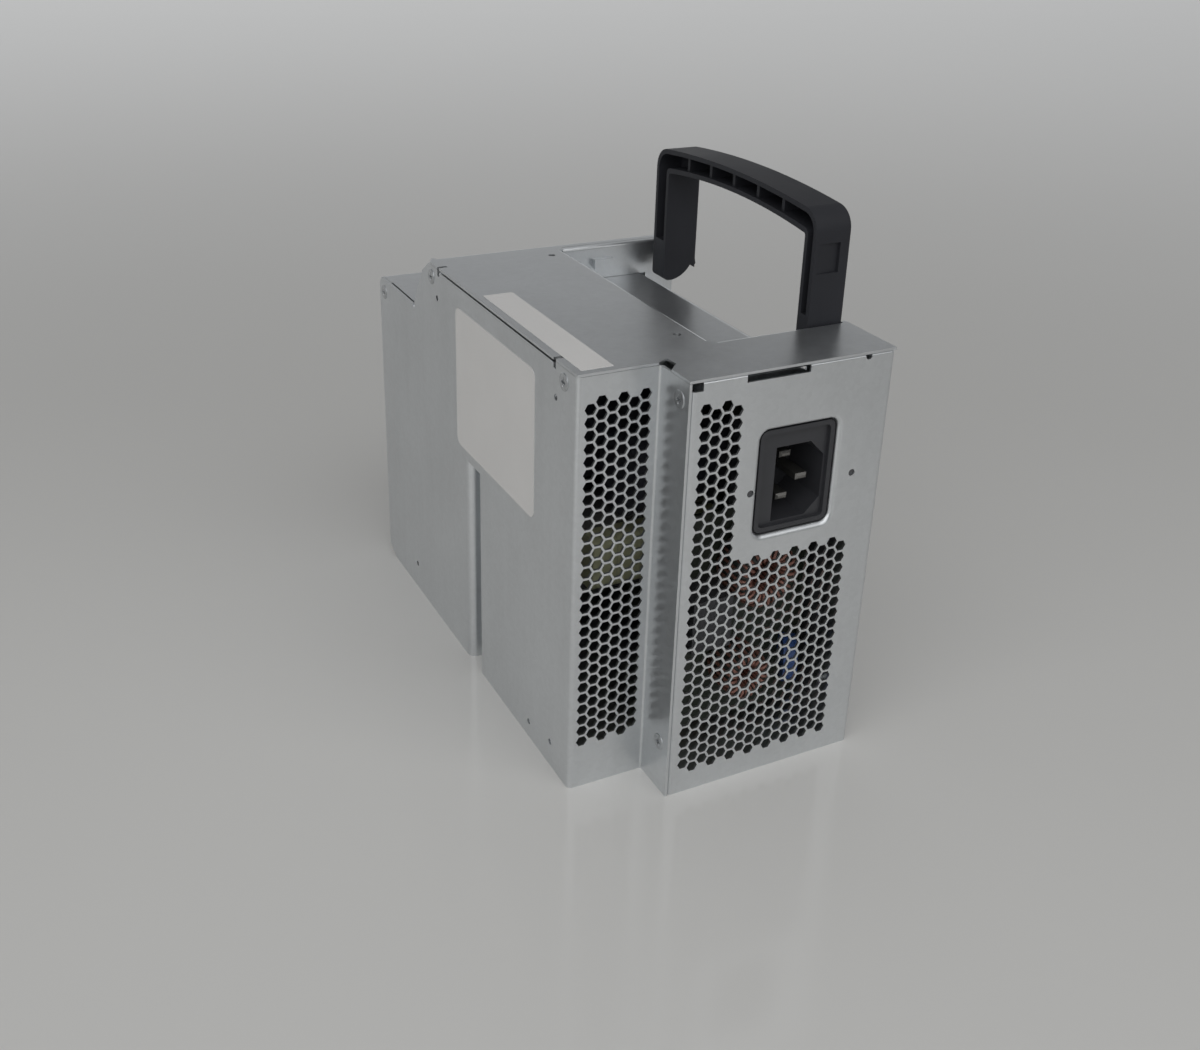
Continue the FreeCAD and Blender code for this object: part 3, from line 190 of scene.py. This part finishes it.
class Finish(Nodes):
    """A material with one Principled shader, built from expressions."""

    def __init__(self, name):
        self.material = bpy.data.materials.new(name)
        self.material.use_nodes = True
        super().__init__(self.material.node_tree)
        self.shader = self.tree.nodes["Principled BSDF"]

    def place(self, scale=(1.0, 1.0, 1.0)):
        """Object coordinates in metres, stretched by scale."""
        return self.add("Mapping", Vector=self.add("TexCoord", output=3), Scale=scale)

    def axis(self, index):
        """One of the object coordinates, in metres."""
        return self.add("SeparateXYZ", output=index, Vector=self.place())

    def noise(self, size, detail=3.0, stretch=(1.0, 1.0, 1.0)):
        """Cloudy values from 0 to 1, with features about size metres wide, divided by stretch."""
        scale = tuple(share / size for share in stretch)
        return self.add("TexNoise", Vector=self.place(scale), Scale=1.0, Detail=detail, Roughness=0.5)

    def cells(self, size):
        """Flat random values of Voronoi cells about size metres wide."""
        made = self.add("TexVoronoi", output=1, Vector=self.place((1 / size,) * 3), Scale=1.0)
        return self.add("SeparateColor", Color=made)

    def blend(self, factor, first, second):
        """Mix of two colours, each a tuple or a socket."""
        places = {0: factor, 6: opaque(first), 7: opaque(second)}
        return self.add("Mix", {"data_type": "RGBA"}, output=2, places=places)

    def set(self, **sockets):
        for key, value in sockets.items():
            name = key.replace("_", " ")
            self.link(opaque(value) if name.endswith("Color") else value, self.shader.inputs[name])
        return self

    def bump(self, height, strength, distance):
        made = self.add("Bump", Height=height, Strength=strength, Distance=distance)
        self.link(made, self.shader.inputs["Normal"])
        return self


def opaque(colour):
    return colour if isinstance(colour, Sock) else (*tuple(colour)[:3], 1.0)


def shade(colour, share):
    """A colour made darker or paler by a share of itself."""
    return tuple(min(1.0, c * share) for c in colour)


# Finishes of this object

def galvanised_finish(name, look):
    """Zinc-coated sheet: fine spangle, faint rolling streaks up the sheet, dull cloudy patches."""
    skin = Finish(name)
    spangle = skin.cells(SPANGLE)
    cloud = skin.noise(DULL_PATCH, detail=4.0)
    streak = skin.noise(ROLLING_STREAK, stretch=UP_THE_SHEET)
    grain = skin.noise(SHEET_GRAIN, detail=2.0)
    tone = (spangle - 0.5) * 0.16 + (cloud - 0.5) * 0.5 + (streak - 0.5) * 0.3 + (grain - 0.5) * 0.12 + 0.5
    colour = skin.blend(tone.clamped(), shade(look.zinc, 0.86), shade(look.zinc, 1.14))
    rough = (cloud - 0.5) * 0.08 + (spangle - 0.5) * 0.03 + (streak - 0.5) * 0.04 + look.zinc_roughness
    skin.set(Base_Color=colour, Metallic=0.96, Roughness=rough)
    return skin.bump(grain + spangle * 0.4, 0.015, 0.1 * MM).material


def hardware_finish(name, look):
    """Zinc on screws and pins, with darker handling marks whose dark end is pushed well below the zinc as
    painted shade of the screw recesses.
    """
    skin = Finish(name)
    wear_and_shade = skin.noise(SCREW_WEAR_AND_SHADE)
    # Random darker patches: partly handling marks, partly painted shade, with the dark end set far down to
    # stand in for recess shade
    colour = skin.blend(wear_and_shade, shade(look.zinc, 0.5), shade(look.zinc, 1.05))
    skin.set(Base_Color=colour, Metallic=0.95, Roughness=wear_and_shade * 0.2 + 0.22)
    return skin.material


def moulding_finish(name, look):
    """Charcoal plastic with a fine spark-eroded texture and slight handling shine."""
    skin = Finish(name)
    texture = skin.noise(SPARK_EROSION, detail=2.0)
    wear = skin.noise(HANDLING_SHINE)
    colour = skin.blend(wear, shade(look.moulding, 0.8), shade(look.moulding, 1.25))
    skin.set(Base_Color=colour, Roughness=wear * 0.16 + 0.44, Specular_IOR_Level=0.24)
    return skin.bump(texture, 0.22, 0.08 * MM).material


def plain_finish(name, colour, roughness, metallic=0.0, mottle=0.12, size=4 * MM):
    """One colour with a faint mottle, for the inlet and the parts seen through the vents."""
    skin = Finish(name)
    cloud = skin.noise(size)
    skin.set(Base_Color=skin.blend(cloud, shade(colour, 1 - mottle), shade(colour, 1 + mottle)),
             Roughness=cloud * 0.1 + roughness, Metallic=metallic)
    return skin.material


def tape_finish(name, colour):
    """Yellow tape in overlapping turns along the coil, each lap with a darker edge."""
    skin = Finish(name)
    lap = (skin.axis(0) / TAPE_TURN).math("FRACT")
    edge = 1.0 - lap.above(0.0, 0.08)
    cloud = skin.noise(TAPE_CLOUD)
    base = skin.blend(cloud, shade(colour, 0.88), shade(colour, 1.08))
    skin.set(Base_Color=skin.blend(edge * 0.5, base, shade(colour, 0.5)), Roughness=cloud * 0.15 + 0.32)
    return skin.bump(lap, 0.3, 0.1 * MM).material


def label_finish(name, look):
    """Coated label stock: fine fibres, faint handling marks, a little duller in patches."""
    skin = Finish(name)
    cloud = skin.noise(LABEL_CLOUD)
    fibre = skin.noise(LABEL_FIBRE, detail=2.0)
    tone = (cloud - 0.5) * 0.7 + (fibre - 0.5) * 0.4 + 0.5
    colour = skin.blend(tone.clamped(), shade(look.paper, 0.93), shade(look.paper, 1.04))
    skin.set(Base_Color=colour, Roughness=cloud * 0.2 + 0.36)
    return skin.bump(fibre, 0.1, 0.05 * MM).material


# Surfaces

def grid_faces(rows, columns, wrap_rows=False, wrap_columns=False):
    """Quads between neighbouring points of a grid; a wrapped direction joins its last line to its first."""
    index = np.arange(rows * columns).reshape(rows, columns)
    if wrap_rows:
        index = np.vstack([index, index[:1]])
    if wrap_columns:
        index = np.hstack([index, index[:, :1]])
    corners = [index[:-1, :-1], index[:-1, 1:], index[1:, 1:], index[1:, :-1]]
    return np.stack(corners, axis=-1).reshape(-1, 4)


def make_piece(name, shells, material, body, crease=35.0):
    """One object from closed grids of points, each with its quads, merged at poles and facing outwards."""
    points = np.concatenate([grid.reshape(-1, 3) for grid, _ in shells])
    starts = np.cumsum([0] + [grid.size // 3 for grid, _ in shells[:-1]])
    faces = np.concatenate([quads + start for (_, quads), start in zip(shells, starts)])
    mesh = bpy.data.meshes.new(name)
    mesh.from_pydata(points, [], faces)
    shape = bmesh.new()
    shape.from_mesh(mesh)
    bmesh.ops.remove_doubles(shape, verts=shape.verts, dist=MERGE_DISTANCE)
    bmesh.ops.recalc_face_normals(shape, faces=shape.faces)
    shape.to_mesh(mesh)
    shape.free()
    mesh.shade_smooth()
    mesh.set_sharp_from_angle(angle=math.radians(crease))
    mesh.materials.append(material)
    piece = bpy.data.objects.new(name, mesh)
    bpy.context.scene.collection.objects.link(piece)
    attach(piece, body)
    return piece


def solids_of(node, gap=20 * MM):
    """Boxes of the separate solids of a CAD node: its points are parted wherever an axis has a clear gap."""
    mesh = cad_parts[node].data
    points = np.empty(len(mesh.vertices) * 3)
    mesh.vertices.foreach_get("co", points)
    groups = [points.reshape(-1, 3)]
    for axis in range(3):
        parted = []
        for group in groups:
            ordered = group[np.argsort(group[:, axis])]
            breaks = np.nonzero(np.diff(ordered[:, axis]) > gap)[0] + 1
            parted += np.split(ordered, breaks)
        groups = parted
    return [(group.min(axis=0), group.max(axis=0)) for group in groups]


def screw_shell(box, outward, fitting):
    """Pan-head screw. A profile of radius and height goes from the middle of the head over its crown and
    rim, under the head, down the shank to its tip, and turns once round the axis. Inside the cross, where
    the smaller of the two plane coordinates is under half an arm's width, the crown sinks by the depth of
    the recess."""
    low, high = box
    axis = int(np.argmax(np.abs(outward)))
    side = float(outward[axis])
    middle = (low + high) / 2
    tip, top = (low[axis], high[axis]) if side > 0 else (high[axis], low[axis])
    across = [i for i in range(3) if i != axis]
    radius = (high - low)[across[0]] / 2
    head, shank = fitting.head_height, fitting.shank_radius
    crown = np.linspace(0, radius * CROWN_REACH, CROWN_POINTS)
    profile_r = np.concatenate([crown, [radius, radius, shank, shank, 0]])
    length = abs(top - tip) - head
    crown_h = head * (1 - CROWN_FALL * (crown / radius) ** 2)
    profile_h = np.concatenate([crown_h, [head * RIM_HEIGHT, 0, 0, -length, -length]])
    turn = np.linspace(0, 2 * np.pi, SCREW_SIDES, endpoint=False)
    u = profile_r[:, None] * np.cos(turn)
    v = profile_r[:, None] * np.sin(turn)
    narrow = np.minimum(np.abs(u), np.abs(v))
    reach = np.maximum(np.abs(u), np.abs(v))
    inside = np.clip((fitting.recess_arm / 2 - narrow) / RECESS_SIDE_SLOPE, 0, 1)
    inside = inside * np.clip((fitting.recess_reach - reach) / RECESS_END_SLOPE, 0, 1)
    on_crown = np.arange(len(profile_r))[:, None] < len(crown)
    height = profile_h[:, None] - inside * on_crown * fitting.recess_depth
    points = np.empty((*u.shape, 3))
    points[..., axis] = top - side * head + side * height
    points[..., across[0]] = middle[across[0]] + u
    points[..., across[1]] = middle[across[1]] + v
    return points, grid_faces(*u.shape, wrap_columns=True)


def rounded(angle):
    """Cosine and sine of an angle pushed outwards into a rounded square."""
    cosine, sine = np.cos(angle), np.sin(angle)
    return np.sign(cosine) * np.abs(cosine) ** SQUARENESS, np.sign(sine) * np.abs(sine) ** SQUARENESS


def ring_frame(node):
    """Centre of a wound ring, its two directions across and one along its axis, outer radius, half depth."""
    low, high = (np.array(corner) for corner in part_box(node))
    size = high - low
    axis = int(np.argmax([abs(size[i] - (size.sum() - size[i]) / 2) for i in range(3)]))
    basis = np.roll(np.eye(3), -axis - 1, axis=0)
    return (low + high) / 2, basis, size[(axis + 1) % 3] / 2, size[axis] / 2


def ring_core_shell(node, coil):
    """Ring core: a rounded square section, a wire's width inside the winding, turned round the axis."""
    centre, basis, outer, depth = ring_frame(node)
    section = np.linspace(0, 2 * np.pi, CORE_SECTION_POINTS, endpoint=False)
    turn = np.linspace(0, 2 * np.pi, CORE_RING_POINTS, endpoint=False)[:, None]
    wide, deep = rounded(section)
    half = outer * (1 - coil.bore) / 2
    radius = outer - half + (half - 2 * coil.wire) * wide
    level = (depth - 2 * coil.wire) * deep + 0 * turn
    points = centre + (radius * np.cos(turn))[..., None] * basis[0]
    points = points + (radius * np.sin(turn))[..., None] * basis[1] + level[..., None] * basis[2]
    return points, grid_faces(CORE_RING_POINTS, CORE_SECTION_POINTS, wrap_rows=True, wrap_columns=True)


def wire_shell(node, coil, turns):
    """Wire round a ring core. Along the wire the angle in the section goes round once for each turn, while
    the angle round the ring goes round once in all; a circle of the wire's radius is carried along that
    path."""
    centre, basis, outer, depth = ring_frame(node)
    steps = turns * POINTS_PER_TURN
    along = np.linspace(0, 2 * np.pi * turns, steps, endpoint=False)
    turn = along / turns
    wide, deep = rounded(along)
    half = outer * (1 - coil.bore) / 2
    radial = np.cos(turn)[:, None] * basis[0] + np.sin(turn)[:, None] * basis[1]
    spine = centre + (outer - half) * radial
    path = spine + ((half - coil.wire) * wide)[:, None] * radial
    path = path + ((depth - coil.wire) * deep)[:, None] * basis[2]
    tangent = np.roll(path, -1, axis=0) - np.roll(path, 1, axis=0)
    tangent /= np.linalg.norm(tangent, axis=1, keepdims=True)
    outwards = path - spine
    outwards -= (outwards * tangent).sum(axis=1, keepdims=True) * tangent
    outwards /= np.linalg.norm(outwards, axis=1, keepdims=True)
    sideways = np.cross(tangent, outwards)
    circle = np.linspace(0, 2 * np.pi, WIRE_SIDES, endpoint=False)
    points = (path[:, None] + coil.wire * (np.cos(circle)[:, None] * outwards[:, None]
                                           + np.sin(circle)[:, None] * sideways[:, None]))
    return points, grid_faces(steps, WIRE_SIDES, wrap_rows=True, wrap_columns=True)


# Panels of settings

class FinishSettings(PropertyGroup):
    """Colours of the main finishes."""
    zinc: FloatVectorProperty(name="Zinc coating", description="Mean colour of the galvanised sheet",
                              subtype="COLOR", size=3, min=0.0, max=1.0, default=(0.68, 0.70, 0.715))
    zinc_roughness: FloatProperty(name="Zinc roughness", description="How dull the galvanised sheet is",
                                  default=0.335, min=0.0, max=1.0)
    moulding: FloatVectorProperty(name="Moulding", description="Colour of the black plastic", subtype="COLOR",
                                  size=3, min=0.0, max=1.0, default=(0.025, 0.026, 0.031))
    paper: FloatVectorProperty(name="Label", description="Colour of the label stock", subtype="COLOR",
                               size=3, min=0.0, max=1.0, default=(0.70, 0.69, 0.675))
    copper: FloatVectorProperty(name="Copper wire", description="Colour of the enamelled windings",
                                subtype="COLOR", size=3, min=0.0, max=1.0, default=(0.37, 0.185, 0.145))


class ScrewSettings(PropertyGroup):
    """Sizes of the screws that the CAD leaves plain."""
    head_height: FloatProperty(name="Head height", description="From the sheet to the crown",
                               default=0.4 * MM, unit="LENGTH", min=0.1 * MM)
    shank_radius: FloatProperty(name="Shank radius", description="Radius of the plain shank",
                                default=1.4 * MM, unit="LENGTH", min=0.5 * MM)
    recess_arm: FloatProperty(name="Recess arm", description="Width of an arm of the cross",
                              default=0.75 * MM, unit="LENGTH", min=0.1 * MM)
    recess_reach: FloatProperty(name="Recess reach", description="From the middle to the end of an arm",
                                default=1.35 * MM, unit="LENGTH", min=0.2 * MM)
    recess_depth: FloatProperty(name="Recess depth", description="Depth of the cross", default=0.9 * MM,
                                unit="LENGTH", min=0.05 * MM)


class CoilSettings(PropertyGroup):
    """Sizes of the wound rings."""
    wire: FloatProperty(name="Wire radius", description="Radius of the enamelled wire", default=0.55 * MM,
                        unit="LENGTH", min=0.1 * MM)
    bore: FloatProperty(name="Bore", description="Bore of a wound ring as a share of its outside",
                        default=0.42, min=0.1, max=0.8)
    turns: IntProperty(name="Turns", description="Turns of wire on the largest ring", default=26, min=4)


class StudioSettings(PropertyGroup):
    """Camera and studio."""
    focal: FloatProperty(name="Focal length", description="Lens of the 36 mm wide camera, in millimetres",
                         default=FOCAL_PIXELS / PICTURE_WIDTH * SENSOR_WIDTH, min=1.0)
    floor_size: FloatProperty(name="Floor size", description="Width of the pale floor", default=8.0,
                              unit="LENGTH", min=0.5)
    floor: FloatVectorProperty(name="Floor", description="Colour of the floor", subtype="COLOR",
                               size=3, min=0.0, max=1.0, default=(0.68, 0.675, 0.657))


# Objects

# Nodes by finish, with the way that each group of screws faces and each wound ring's share of the turns
STEEL = ("side_wrap", "inlet_panel", "base_pan", "top_cover", "handle_tray", "shelf_cover", "rear_panel")
PLAIN_HARDWARE = ("board_screws", "board_standoffs", "handle_pivot_pins")
LABELS = ("rating_label", "top_label")
SCREWS = {"cover_screws": (-1, 0, 0), "step_screws": (-1, 0, 0), "shelf_screw": (-1, 0, 0),
          "side_screws": (1, 0, 0), "rear_screws": (1, 0, 0), "fan_screws": (0, 1, 0)}
WOUND_RINGS = {"pfc_choke": 1.0, "emi_choke": 0.8, "output_choke": 0.9}
MOULDINGS = ("handle", "handle_spacer", "fan_frame", "fan_rotor")

# Plain finishes: colour, roughness, metallic, and the nodes that have it
FITTINGS = {
    "oiled_rivet": ((0.12, 0.12, 0.125), 0.4, 0.8, ("inlet_rivets",)),
    "inlet_plastic": ((0.036, 0.037, 0.042), 0.36, 0.0, ("inlet_body",)),
    # Plated contacts: the colour is set far darker than bright plating as painted shade, standing in for the
    # shadow the inlet pins sit in
    "plated_contact": ((0.21, 0.206, 0.195), 0.42, 1.0, ("inlet_pins", "output_contacts")),
    "natural_nylon": ((0.60, 0.57, 0.48), 0.45, 0.0, ("output_connector",)),
}
INSIDE = {
    "board_laminate": ((0.055, 0.066, 0.05), 0.45, 0.0, ("main_board", "filter_board", "control_board")),
    "grey_ferrite": ((0.13, 0.13, 0.127), 0.5, 0.0, ("transformer_core",)),
    "can_sleeve": ((0.08, 0.082, 0.10), 0.3, 0.0, ("bulk_capacitors", "output_capacitors")),
    "heat_sink_metal": ((0.30, 0.31, 0.33), 0.35, 0.9, ("bridge_heat_sink", "output_heat_sink")),
    "package_resin": ((0.06, 0.06, 0.065), 0.5, 0.0, ("power_transistors", "x_capacitor")),
    "bare_copper": ((0.62, 0.30, 0.18), 0.3, 1.0, ("output_bus_bars",)),
    "blue_coating": ((0.045, 0.10, 0.29), 0.35, 0.0, ("varistor",)),
    "lead_insulation": ((0.03, 0.03, 0.033), 0.5, 0.0, ("inlet_leads",)),
    "insulation_film": ((0.09, 0.09, 0.095), 0.4, 0.0, ("insulation_sheet",)),
}
YELLOW_TAPE = (0.92, 0.92, 0.60)
CORE_PAINT = (0.06, 0.07, 0.065)


def give(material, nodes):
    """Puts one finish on CAD nodes."""
    for node in nodes:
        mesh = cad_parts[node].data
        mesh.materials.clear()
        mesh.materials.append(material)


def give_plain(table):
    """Makes each plain finish of a table and puts it on its nodes."""
    for name, (colour, roughness, metallic, nodes) in table.items():
        give(plain_finish(name, colour, roughness, metallic=metallic), nodes)


class PSU_OT_case(Operator):
    """Finish the folded sheets, the plain hardware and the labels"""
    bl_idname = "psu.case"
    bl_label = "Case"

    def execute(self, context):
        look = context.scene.psu_finish
        give(galvanised_finish("galvanised_sheet", look), STEEL)
        give(hardware_finish("bright_zinc", look), PLAIN_HARDWARE)
        give(label_finish("label_stock", look), LABELS)
        return {"FINISHED"}


class PSU_OT_screws(Operator):
    """Make the cross-recessed screws in place of the plain CAD ones"""
    bl_idname = "psu.screws"
    bl_label = "Screws"

    def execute(self, context):
        scene = context.scene
        bright = hardware_finish("screw_zinc", scene.psu_finish)
        for node, outward in SCREWS.items():
            shells = [screw_shell(box, outward, scene.psu_screw) for box in solids_of(node)]
            piece = make_piece("recessed_" + node, shells, bright, "case", crease=28.0)
            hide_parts(node)
        return {"FINISHED"}


class PSU_OT_mouldings(Operator):
    """Finish the handle, the fan, the inlet with its pins and rivets, and the dock"""
    bl_idname = "psu.mouldings"
    bl_label = "Mouldings"

    def execute(self, context):
        give(moulding_finish("charcoal_moulding", context.scene.psu_finish), MOULDINGS)
        give_plain(FITTINGS)
        return {"FINISHED"}


class PSU_OT_inside(Operator):
    """Finish the boards and components seen through the vents"""
    bl_idname = "psu.inside"
    bl_label = "Inside"

    def execute(self, context):
        give(tape_finish("yellow_tape", YELLOW_TAPE), ("transformer_winding",))
        give_plain(INSIDE)
        return {"FINISHED"}


class PSU_OT_coils(Operator):
    """Make the wound ring cores in place of the plain CAD rings"""
    bl_idname = "psu.coils"
    bl_label = "Coils"

    def execute(self, context):
        scene = context.scene
        coil = scene.psu_coil
        copper = scene.psu_finish.copper
        enamel = plain_finish("enamelled_copper", copper, 0.32, metallic=0.4, size=WIRE_MOTTLE)
        painted = plain_finish("painted_core", CORE_PAINT, 0.45)
        for node, share in WOUND_RINGS.items():
            winding = wire_shell(node, coil, round(coil.turns * share))
            core = make_piece(node + "_core", [ring_core_shell(node, coil)], painted, "case")
            wire = make_piece(node + "_wire", [winding], enamel, "case", crease=180.0)
            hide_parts(node)
        return {"FINISHED"}


class PSU_OT_studio(Operator):
    """Make the floor, the soft lights and the camera"""
    bl_idname = "psu.studio"
    bl_label = "Studio"

    def execute(self, context):
        scene = context.scene
        studio = scene.psu_studio
        scene.view_settings.view_transform = "Standard"
        self.lay_floor(scene, studio)
        self.light_dome(scene)
        self.hang_lamps(scene)
        self.place_camera(scene, studio)
        return {"FINISHED"}

    def lay_floor(self, scene, studio):
        half = studio.floor_size / 2
        corners = [(-half, -half, 0), (half, -half, 0), (half, half, 0), (-half, half, 0)]
        mesh = bpy.data.meshes.new("floor")
        mesh.from_pydata(corners, [], [(0, 1, 2, 3)])
        floor = bpy.data.objects.new("floor", mesh)
        scene.collection.objects.link(floor)
        ground = Finish("pale_floor")
        ground.set(Base_Color=studio.floor, Roughness=0.14, Specular_IOR_Level=0.4)
        mesh.materials.append(ground.material)

    def light_dome(self, scene):
        """Soft dome: pale overhead and along the horizon, darker between, brighter behind than in front."""
        world = bpy.data.worlds.new("studio")
        scene.world = world
        world.use_nodes = True
        dome = Nodes(world.node_tree)
        direction = dome.add("TexCoord")
        height = dome.add("SeparateXYZ", output=2, Vector=direction)
        behind = dome.add("SeparateXYZ", output=1, Vector=direction)
        horizon = 1.0 - height.above(*HORIZON_FADE)
        overhead = height.above(*OVERHEAD_FADE)
        level = horizon * HORIZON_LEVEL + overhead * OVERHEAD_LEVEL + BETWEEN_LEVEL
        background = world.node_tree.nodes["Background"]
        dome.link(level * (behind * GAIN_BEHIND + GAIN_ALL_ROUND), background.inputs["Strength"])
        dome.link(DOME_COLOUR, background.inputs["Color"])

    def hang_lamps(self, scene):
        for name, (place, size, power) in LAMPS.items():
            light = bpy.data.lights.new(name, "AREA")
            light.shape = "DISK"
            light.size = size
            light.energy = power
            lamp = bpy.data.objects.new(name, light)
            lamp.location = place
            lamp.rotation_euler = (LAMP_TARGET - lamp.location).to_track_quat("-Z", "Y").to_euler()
            scene.collection.objects.link(lamp)

    def place_camera(self, scene, studio):
        lens = bpy.data.cameras.new("photo_camera")
        lens.sensor_width = SENSOR_WIDTH
        lens.sensor_fit = "HORIZONTAL"
        lens.lens = studio.focal
        lens.shift_y = CAMERA_SHIFT
        camera = bpy.data.objects.new("photo_camera", lens)
        turn = Matrix((CAMERA_RIGHT, -CAMERA_DOWN, -CAMERA_AHEAD)).transposed().to_4x4()
        camera.matrix_world = Matrix.Translation(CAMERA_EYE) @ turn
        scene.collection.objects.link(camera)
        scene.camera = camera


class PSU_PT_panel(Panel):
    """Lists the steps of the power supply's looks"""
    bl_label = "Power supply"
    bl_idname = "PSU_PT_panel"
    bl_space_type = "VIEW_3D"
    bl_region_type = "UI"
    bl_category = "Power supply"

    def draw(self, context):
        layout = self.layout
        scene = context.scene
        for group in (scene.psu_finish, scene.psu_screw, scene.psu_coil, scene.psu_studio):
            for name in group.__annotations__:
                layout.prop(group, name)
        for step in STEPS:
            layout.operator(step.bl_idname)


STEPS = (PSU_OT_case, PSU_OT_screws, PSU_OT_mouldings, PSU_OT_inside, PSU_OT_coils, PSU_OT_studio)
CLASSES = (FinishSettings, ScrewSettings, CoilSettings, StudioSettings, *STEPS, PSU_PT_panel)


def register():
    for item in CLASSES:
        bpy.utils.register_class(item)
    bpy.types.Scene.psu_finish = PointerProperty(type=FinishSettings)
    bpy.types.Scene.psu_screw = PointerProperty(type=ScrewSettings)
    bpy.types.Scene.psu_coil = PointerProperty(type=CoilSettings)
    bpy.types.Scene.psu_studio = PointerProperty(type=StudioSettings)


def unregister():
    del bpy.types.Scene.psu_studio
    del bpy.types.Scene.psu_coil
    del bpy.types.Scene.psu_screw
    del bpy.types.Scene.psu_finish
    for item in reversed(CLASSES):
        bpy.utils.unregister_class(item)


def main():
    register()
    bpy.ops.psu.case()
    bpy.ops.psu.screws()
    bpy.ops.psu.mouldings()
    bpy.ops.psu.inside()
    bpy.ops.psu.coils()
    bpy.ops.psu.studio()


if __name__ == "__main__":
    main()
